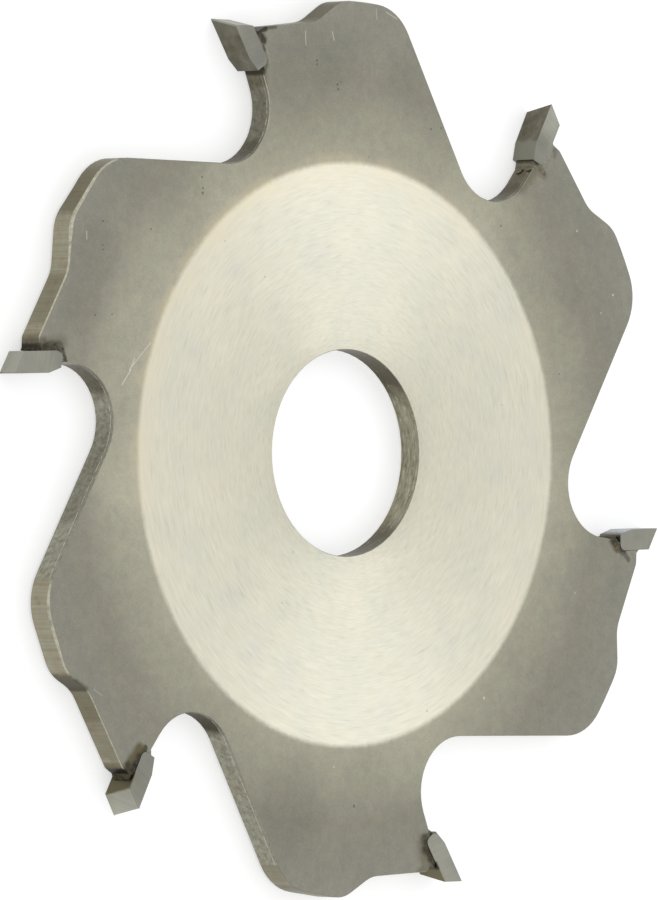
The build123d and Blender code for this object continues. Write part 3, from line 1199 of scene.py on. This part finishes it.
@dataclass(frozen=True)
class BurntBraze:
    """The braze: silver solder that ran out of the seat, under flux that burnt on to it."""

    name: str = "silver_braze_with_burnt_flux"
    roughness: float = 0.65

    def build(self) -> bpy.types.Material:
        """Makes the material.

        Returns:
            The material.
        """
        # Burnt flux is an olive-black crust with brown thin spots. Bare solder shows as a dull
        # grey between the tip and the plate.
        p = Pattern(self.name)
        crust = p.add(
            "ShaderNodeTexNoise", {}, {"Vector": p.place, "Scale": 2.6, "Detail": 6.0, "Roughness": 0.7}
        )
        black = p.add(
            "ShaderNodeValToRGB", {}, {0: crust},
            stops=[(0.32, "242219"), (0.48, "363428"), (0.6, "4B4738"), (0.74, "655D4A")],
        )
        brown = p.add(
            "ShaderNodeValToRGB", {}, {0: crust},
            stops=[(0.32, "453F2F"), (0.48, "5F5743"), (0.6, "75694F"), (0.74, "8C8168")],
        )
        solder = p.add(
            "ShaderNodeValToRGB", {}, {0: crust},
            stops=[(0.32, "7B796C"), (0.5, "8B897B"), (0.68, "999788")],
        )
        # The soot marks, with their painted shade, decide where the crust is dark flux and where bare
        # solder shows.
        burnt = p.marked(SOOT_AND_TIP_SHADE)
        flux = p.add("ShaderNodeMix", MIX, {0: p.marked(BROWN_FLUX), 6: black, 7: brown}, out=2)
        solder = p.stained(solder, ((BROWNED, "655B43"),))
        colour = p.add("ShaderNodeMix", MIX, {0: burnt, 6: solder, 7: flux}, out=2)
        bare = p.add("ShaderNodeMapRange", EASE, {0: burnt, 1: 0.7, 2: 0.2, 3: 0.0, 4: 1.0})
        lumpy = p.add("ShaderNodeBump", {}, {"Height": crust, "Distance": 0.02 * MM, "Strength": 0.35})
        return p.finish(p.add(
            "ShaderNodeBsdfPrincipled", {},
            {"Base Color": colour, "Metallic": bare, "Roughness": self.roughness,
             "Specular IOR Level": 0.12, "Normal": lumpy},
        ))


@dataclass(frozen=True)
class PaleBoard:
    """The floor: a matt pale board that the camera and metal see as white."""

    name: str = "matt_pale_board"
    colour: str = "C9C9C9"
    lift: float = 0.54

    def build(self) -> bpy.types.Material:
        """Makes the material.

        Returns:
            The material.
        """
        # The lift makes the board white in view without more light on the blade, and it is low
        # enough for the blade's soft shadow to stay.
        material = bpy.data.materials.new(self.name)
        material.use_nodes = True
        material.node_tree.nodes.clear()
        add = partial(add_node, material.node_tree)
        board = add("ShaderNodeBsdfDiffuse", {}, {"Color": linear(self.colour)})
        strength = add(
            "ShaderNodeMath", {"operation": "MULTIPLY"}, {0: seen_as_white(add), 1: self.lift}
        )
        glow = add("ShaderNodeEmission", {}, {"Color": (1.0, 1.0, 1.0, 1.0), "Strength": strength})
        both = add("ShaderNodeAddShader", {}, {0: board, 1: glow})
        add("ShaderNodeOutputMaterial", {}, {"Surface": both})
        return material


# The blade


class PlateFinish(Enum):
    """The plate's material slots, by number."""

    FACE = 0
    WALL = 1
    BACK = 2
    RIM = 3
    BORE = 4


@dataclass
class Plate:
    """The steel plate, with its edges broken and a finish for each kind of surface."""

    node: bpy.types.Object
    rim_mm: float = 0.06
    margin_mm: float = 0.5
    sharp_degrees: float = 60.0
    # How far the border between two teeth is turned from halfway between their crests.
    lead_degrees: float = 6.0
    bore_reach: float = 12.0
    # Heights in a tooth's frame: above these lie its ground back, the edges that may be worn and
    # the long edges of its crest, which are cut into lengths.
    back_height: float = 43.9
    worn_height: float = 44.0
    crest_height: float = 44.5
    crest_span: tuple[float, float] = (-3.0, 9.0)
    long_edge: float = 1.5
    level_mm: float = 0.01
    # How upright a normal is on the flat faces as cut, on the finished ones and on the rims.
    flat_z: float = 0.99
    face_z: float = 0.97
    rim_z: float = 0.15
    # Where grinding and wear left a wide facet: along an edge of a tooth's back, in front (1) or
    # on the far face (-1), the place and the facet's width there.
    worn_mm: dict[tuple[int, int], tuple[tuple[float, float], ...]] = field(
        default_factory=lambda: {
            (5, 1): (
                (-12.9, 0.06), (-12.4, 0.12), (-3.6, 0.14), (-1.6, 0.2), (-0.9, 0.4),
                (0.4, 0.4), (1.2, 0.26), (3.0, 0.22), (5.6, 0.28), (8.4, 0.1),
            ),
            (5, -1): ((1.0, 0.06), (2.6, 0.16), (4.2, 0.3), (6.0, 0.34), (7.6, 0.24), (9.2, 0.06)),
            (4, 1): (
                (-12.9, 0.06), (-12.4, 0.09), (-3.6, 0.08), (-1.0, 0.07), (0.0, 0.14),
                (3.7, 0.22), (5.1, 0.27), (6.5, 0.34), (7.4, 0.36), (8.3, 0.2), (8.8, 0.06),
            ),
        }
    )
    piece: bpy.types.Object | None = field(default=None, init=False)

    def build(self) -> bpy.types.Object:
        """Shapes the plate from the CAD node's mesh.

        Returns:
            The finished piece.
        """
        self.piece = copy_node(self.node, "blade_plate", FLAT_DEGREES)
        self.divide_backs()
        self.add_margins()
        mesh = self.piece.data
        widths = []
        for edge, sides in zip(mesh.edges, sides_of_edges(mesh)):
            start, end = (mesh.vertices[number].co / MM for number in edge.vertices)
            sharp = meet_sharply(sides, self.sharp_degrees)
            widths.append(self.rim_width((start + end) / 2) if sharp else 0.0)
        break_edges(self.piece, widths)
        self.dress()
        work_on(self.piece)
        bpy.ops.object.shade_smooth_by_angle(angle=math.radians(SMOOTH_DEGREES))
        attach(self.piece, "root")
        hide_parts("plate")
        return self.piece

    def tooth_at(self, place: Vector) -> tuple[int, Vector]:
        """Finds the tooth that a place belongs to.

        Args:
            place: the place, in millimetres.

        Returns:
            The tooth's number, and the place in its frame.
        """
        angle = math.degrees(math.atan2(place.x, place.y))
        tooth = round((angle + self.lead_degrees) / PITCH) % TEETH
        return tooth, tooth_turn(tooth).inverted() @ place

    def divide_backs(self, pieces: int = 12) -> None:
        """Divides the long straight edges of the worn teeth, so that a facet can widen on them.

        Args:
            pieces: how many pieces each becomes.
        """
        mesh = self.piece.data
        chosen = []
        for edge in mesh.edges:
            start, end = (mesh.vertices[number].co / MM for number in edge.vertices)
            tooth, middle = self.tooth_at((start + end) / 2)
            level = abs(start.z - end.z) < self.level_mm
            on_crest = (
                middle.y > self.crest_height and self.crest_span[0] < middle.x < self.crest_span[1]
            )
            long = (start - end).length > self.long_edge
            chosen.append((tooth, 1) in self.worn_mm and level and on_crest and long)
        edit_parts(self.piece, "EDGE", chosen)
        bpy.ops.mesh.subdivide(number_cuts=pieces - 1)
        bpy.ops.object.mode_set(mode="OBJECT")

    def add_margins(self) -> None:
        """Cuts a margin along the edges of both flat faces, which the bevels then stay inside."""
        faces = self.piece.data.polygons
        edit_parts(self.piece, "FACE", [abs(face.normal.z) > self.flat_z for face in faces])
        bpy.ops.mesh.inset(thickness=self.margin_mm * MM, use_even_offset=True)
        bpy.ops.object.mode_set(mode="OBJECT")

    def rim_width(self, middle: Vector) -> float:
        """How wide the broken edge is at a place.

        Args:
            middle: the place, in millimetres.

        Returns:
            The width in millimetres.
        """
        tooth, local = self.tooth_at(middle)
        if local.y < self.worn_height:
            return self.rim_mm
        stops = self.worn_mm.get((tooth, 1 if middle.z > 0 else -1), ())
        for (x0, w0), (x1, w1) in zip(stops, stops[1:]):
            if x0 <= local.x <= x1:
                return w0 + (w1 - w0) * (local.x - x0) / (x1 - x0)
        return self.rim_mm

    def finish_of(self, face: bpy.types.MeshPolygon) -> PlateFinish:
        """Chooses the finish of a face, from its normal and its place.

        Args:
            face: the face.

        Returns:
            The finish.
        """
        if abs(face.normal.z) > self.face_z:
            return PlateFinish.FACE
        if abs(face.normal.z) > self.rim_z:
            return PlateFinish.RIM
        middle = face.center / MM
        if middle.xy.length < self.bore_reach:
            return PlateFinish.BORE
        if self.tooth_at(middle)[1].y > self.back_height:
            return PlateFinish.BACK
        return PlateFinish.WALL

    def dress(self) -> None:
        """Gives each face of the plate its finish."""
        finishes = (BlastedAndGroundFace(), StampedWall(), WheelGroundBack(), WornAndHighlitRim(), ReamedBore())
        for finish in finishes:
            self.piece.data.materials.append(finish.build())
        for face in self.piece.data.polygons:
            face.material_index = self.finish_of(face).value


@dataclass
class CarbideTip:
    """One carbide tip, with its ground edges just broken and its cutting edge worn."""

    node: bpy.types.Object
    tooth: int
    material: bpy.types.Material
    edge_mm: float = 0.03
    sharp_degrees: float = 12.0
    # How wide each tooth's cutting edge is worn.
    worn_mm: tuple[float, ...] = (0.2, 0.12, 0.24, 0.2, 0.16, 0.2)
    # Which way the rake face and the outer end point in the tooth's frame, in degrees, and the
    # least cosine to it of a face that counts as one of them.
    rake_way: float = 212.3
    end_way: float = 90.7
    rake_share: float = 0.95
    end_share: float = 0.9

    def build(self) -> bpy.types.Object:
        """Shapes the tip from the CAD node's mesh.

        Returns:
            The finished piece.
        """
        piece = copy_node(self.node, f"carbide_tip_{self.tooth + 1}", FLAT_DEGREES)
        rake, end = (
            tooth_turn(self.tooth) @ Vector((math.cos(angle), math.sin(angle), 0.0))
            for angle in (math.radians(self.rake_way), math.radians(self.end_way))
        )
        widths = []
        for sides in sides_of_edges(piece.data):
            on_rake = any(face.normal.dot(rake) > self.rake_share for face in sides)
            on_end = any(face.normal.dot(end) > self.end_share for face in sides)
            sharp = meet_sharply(sides, self.sharp_degrees)
            cutting = on_rake and on_end
            widths.append(self.worn_mm[self.tooth] if cutting else self.edge_mm if sharp else 0.0)
        break_edges(piece, widths)
        piece.data.materials.append(self.material)
        work_on(piece)
        bpy.ops.object.shade_smooth_by_angle(angle=math.radians(SMOOTH_DEGREES))
        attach(piece, "root")
        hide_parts(f"tip_{self.tooth + 1}")
        return piece


@dataclass(frozen=True)
class Lump:
    """A drop of braze or flux in its tooth's frame: where it sits, its half sizes and its turn."""

    x: float
    y: float
    z: float
    half: tuple[float, float, float]
    turn: float = 0.0


@dataclass(frozen=True)
class Web:
    """A wedge of braze through the plate's thickness, by its three corners in a tooth's frame."""

    corners: tuple[tuple[float, float], ...]
    half_height: float = 1.26


# Every tip has a web where the plate's low edge meets its back, and one where the gullet's wall
# passes under it. The rest ran out or stuck on as it came, tooth by tooth.
BACK_WEB = Web(((-14.0, 43.75), (-14.36, 44.38), (-13.62, 44.2)))
FOOT_WEB = Web(((-13.15, 40.85), (-13.06, 40.05), (-13.78, 40.4)))
FULL_FOOT_WEB = Web(((-13.2, 41.0), (-12.95, 39.85), (-13.8, 40.6)), 1.3)
LOW_BACK_WEB = Web(((-13.85, 43.5), (-14.12, 43.98), (-13.55, 43.95)))
WEBS: dict[int, tuple[Web, ...]] = {
    0: (BACK_WEB, FOOT_WEB),
    1: (BACK_WEB, FULL_FOOT_WEB),
    2: (BACK_WEB, FOOT_WEB),
    3: (BACK_WEB, FOOT_WEB),
    4: (BACK_WEB, FOOT_WEB),
    5: (LOW_BACK_WEB, FOOT_WEB),
}
LUMPS: dict[int, tuple[Lump, ...]] = {
    0: (),
    1: (
        Lump(-13.15, 39.95, 0.8, (0.12, 0.4, 0.5), 22),
        Lump(-13.05, 39.75, -0.5, (0.12, 0.5, 0.5), 22),
        Lump(-12.85, 40.6, 1.32, (0.6, 0.3, 0.12), 30),
        Lump(-12.05, 41.1, 1.33, (0.5, 0.2, 0.08), 40),
        Lump(-12.6, 40.9, 1.38, (0.3, 0.26, 0.22), 30),
    ),
    2: (
        Lump(-12.75, 41.6, 1.3, (1.0, 0.45, 0.12), -70),
        Lump(-12.95, 41.0, 1.3, (0.5, 0.4, 0.16), -60),
        Lump(-13.2, 40.7, 1.1, (0.4, 0.3, 0.25), -30),
    ),
    3: (
        Lump(-13.6, 43.7, 1.3, (0.6, 0.3, 0.12), -60),
        Lump(-12.5, 41.1, 1.3, (0.5, 0.28, 0.11), -40),
    ),
    4: (
        Lump(-13.5, 43.6, 1.3, (0.8, 0.36, 0.11), -60),
        Lump(-12.75, 42.0, 1.3, (1.1, 0.22, 0.11), -68),
    ),
    5: (
        Lump(-13.3, 43.35, 1.29, (0.9, 0.5, 0.1), -60),
        Lump(-12.7, 40.6, 1.2, (0.35, 0.22, 0.18), -50),
    ),
}


@dataclass
class BrazeBead:
    """The braze round one tip, with the flux that burnt on to it, as one uneven crust."""

    node: bpy.types.Object
    tooth: int
    material: bpy.types.Material
    voxel_mm: float = 0.05
    rough_mm: float = 0.04
    clump_mm: float = 0.5
    # The clouds' value at which the crust stays where it is; above a half, more of it sinks.
    sunk: float = 0.55
    smoothings: int = 7

    def drop(self, lump: Lump) -> bpy.types.Object:
        """Makes one drop.

        Args:
            lump: its place, sizes and turn.

        Returns:
            The drop.
        """
        bpy.ops.mesh.primitive_ico_sphere_add(
            subdivisions=3,
            radius=MM,
            location=(lump.x * MM, lump.y * MM, lump.z * MM),
            rotation=(0.0, 0.0, math.radians(lump.turn)),
            scale=lump.half,
        )
        drop = bpy.context.object
        drop.matrix_basis = tooth_turn(self.tooth) @ drop.matrix_basis
        bpy.ops.object.transform_apply(location=True, rotation=True, scale=True)
        return drop

    def wedge(self, web: Web) -> bpy.types.Object:
        """Makes one web: a three-sided prism, with each upright edge moved to its corner.

        Args:
            web: its corners, clockwise from above, and its height.

        Returns:
            The web.
        """
        bpy.ops.mesh.primitive_cylinder_add(vertices=3, radius=MM, depth=2 * web.half_height * MM)
        prism = bpy.context.object
        starts = [
            (round(vertex.co.x / MM, 3), round(vertex.co.y / MM, 3))
            for vertex in prism.data.vertices
        ]
        places = sorted(set(starts), key=lambda place: -math.atan2(place[1], place[0]))
        for place, corner in zip(places, web.corners):
            edit_parts(prism, "VERT", [start == place for start in starts])
            bpy.ops.transform.translate(
                value=((corner[0] - place[0]) * MM, (corner[1] - place[1]) * MM, 0.0)
            )
            bpy.ops.object.mode_set(mode="OBJECT")
        prism.matrix_basis = tooth_turn(self.tooth) @ prism.matrix_basis
        bpy.ops.object.transform_apply(location=True, rotation=True, scale=True)
        return prism

    def build(self) -> bpy.types.Object:
        """Shapes the crust from the CAD node's bead, its drops and its webs.

        Returns:
            The finished piece.
        """
        piece = copy_node(self.node, f"braze_crust_{self.tooth + 1}")
        parts = [self.drop(lump) for lump in LUMPS[self.tooth]]
        parts += [self.wedge(web) for web in WEBS[self.tooth]]
        work_on(piece)
        for part in parts:
            part.select_set(True)
        bpy.ops.object.join()
        apply_modifier(piece, "REMESH", mode="VOXEL", voxel_size=self.voxel_mm * MM)
        clumps = bpy.data.textures.new(f"flux_clumps_{self.tooth + 1}", "CLOUDS")
        clumps.noise_scale = self.clump_mm * MM
        apply_modifier(
            piece,
            "DISPLACE",
            texture=clumps,
            texture_coords="LOCAL",
            strength=self.rough_mm * MM,
            mid_level=self.sunk,
        )
        apply_modifier(piece, "SMOOTH", iterations=self.smoothings, factor=0.5)
        bpy.ops.object.shade_smooth()
        piece.data.materials.append(self.material)
        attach(piece, "root")
        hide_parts(f"braze_{self.tooth + 1}")
        return piece


# The studio


@dataclass(frozen=True)
class Softbox:
    """A square soft lamp: the way it stands from the blade, how far off, its side and its light."""

    name: str
    way: tuple[float, float, float]
    away_m: float
    side_m: float
    watts: float
    colour: str = "FFFFFF"


@dataclass
class Studio:
    """The pale floor, the lamps, the sky and the camera."""

    floor_z: float
    floor_m: float = 12.0
    sky_strength: float = 0.84
    camera_place: tuple[float, float, float] = (-735.91, -16.06, 738.44)
    camera_aim: tuple[float, float, float] = (0.705211, 0.015695, -0.708824)
    camera_up: tuple[float, float, float] = (-0.018287, 0.999825, 0.003944)
    focal_px: float = 9803.6
    sensor_mm: float = 36.0
    clip_m: tuple[float, float] = (0.05, 50.0)
    boxes: tuple[Softbox, ...] = (
        Softbox("key_over_the_far_side", (0.55, 0.05, 0.82), 0.9, 0.9, 0.7),
        Softbox("fan_left", (0.7, 0.6, 0.42), 0.8, 0.75, 0.8, "EEF3FF"),
        Softbox("fan_right", (0.7, -0.6, 0.42), 0.8, 0.75, 0.8, "EEF3FF"),
    )

    def build(self) -> None:
        """Sets up all of it."""
        self.add_floor()
        self.add_sky()
        for box in self.boxes:
            self.add_lamp(box)
        self.add_camera()

    def add_floor(self) -> None:
        """Adds the floor under the blade."""
        bpy.ops.object.select_all(action="DESELECT")
        bpy.ops.mesh.primitive_plane_add(size=self.floor_m, location=(0.0, 0.0, self.floor_z))
        floor = bpy.context.object
        floor.name = "floor"
        floor.data.materials.append(PaleBoard().build())
        floor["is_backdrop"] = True

    def add_sky(self) -> None:
        """Adds an even pale sky, which the camera and metal see as white."""
        world = bpy.data.worlds.new("studio")
        bpy.context.scene.world = world
        world.use_nodes = True
        world.node_tree.nodes.clear()
        add = partial(add_node, world.node_tree)
        strength = add("ShaderNodeMapRange", {}, {0: seen_as_white(add), 3: self.sky_strength, 4: 1.0})
        sky = add("ShaderNodeBackground", {}, {"Color": (1.0, 1.0, 1.0, 1.0), "Strength": strength})
        add("ShaderNodeOutputWorld", {}, {"Surface": sky})

    def add_lamp(self, box: Softbox) -> None:
        """Adds one soft lamp that faces the blade.

        Args:
            box: the lamp.
        """
        data = bpy.data.lights.new(box.name, "AREA")
        data.shape = "SQUARE"
        data.size = box.side_m
        data.energy = box.watts
        data.color = linear(box.colour)[:3]
        lamp = bpy.data.objects.new(box.name, data)
        way = Vector(box.way).normalized()
        lamp.location = way * box.away_m
        lamp.rotation_mode = "QUATERNION"
        lamp.rotation_quaternion = (-way).to_track_quat("-Z", "Y")
        bpy.context.scene.collection.objects.link(lamp)

    def add_camera(self) -> None:
        """Adds the camera, turned as the photograph's was to the blade."""
        data = bpy.data.cameras.new("camera")
        data.sensor_width = self.sensor_mm
        data.lens = self.focal_px * self.sensor_mm / max(PHOTO_SIZE)
        data.clip_start, data.clip_end = self.clip_m
        back = -Vector(self.camera_aim).normalized()
        right = Vector(self.camera_up).cross(back).normalized()
        up = back.cross(right)
        turn = Matrix((right, up, back)).transposed()
        camera = bpy.data.objects.new("camera", data)
        camera.matrix_world = Matrix.Translation(Vector(self.camera_place) * MM) @ turn.to_4x4()
        bpy.context.scene.collection.objects.link(camera)
        bpy.context.scene.camera = camera


# The whole scene


def main() -> None:
    logging.basicConfig(level=logging.INFO, format="%(name)s: %(message)s")
    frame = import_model()
    cad_box = [list(corner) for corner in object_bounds()]
    nodes = frame["nodes"]

    plate = Plate(nodes["plate"]).build()
    log.info("%s: %d faces", plate.name, len(plate.data.polygons))
    carbide, braze = GroundCarbide().build(), BurntBraze().build()
    for tooth in range(TEETH):
        tip = CarbideTip(nodes[f"tip_{tooth + 1}"], tooth, carbide).build()
        log.info("%s: %d faces", tip.name, len(tip.data.polygons))
        bead = BrazeBead(nodes[f"braze_{tooth + 1}"], tooth, braze).build()
        log.info("%s: %d faces", bead.name, len(bead.data.polygons))

    studio = Studio(floor_z=cad_box[0][2])
    studio.build()
    log.info("studio: floor, sky, %d lamps and camera", len(studio.boxes))
    bpy.context.scene.view_settings.view_transform = "Standard"


if __name__ == "__main__":
    main()
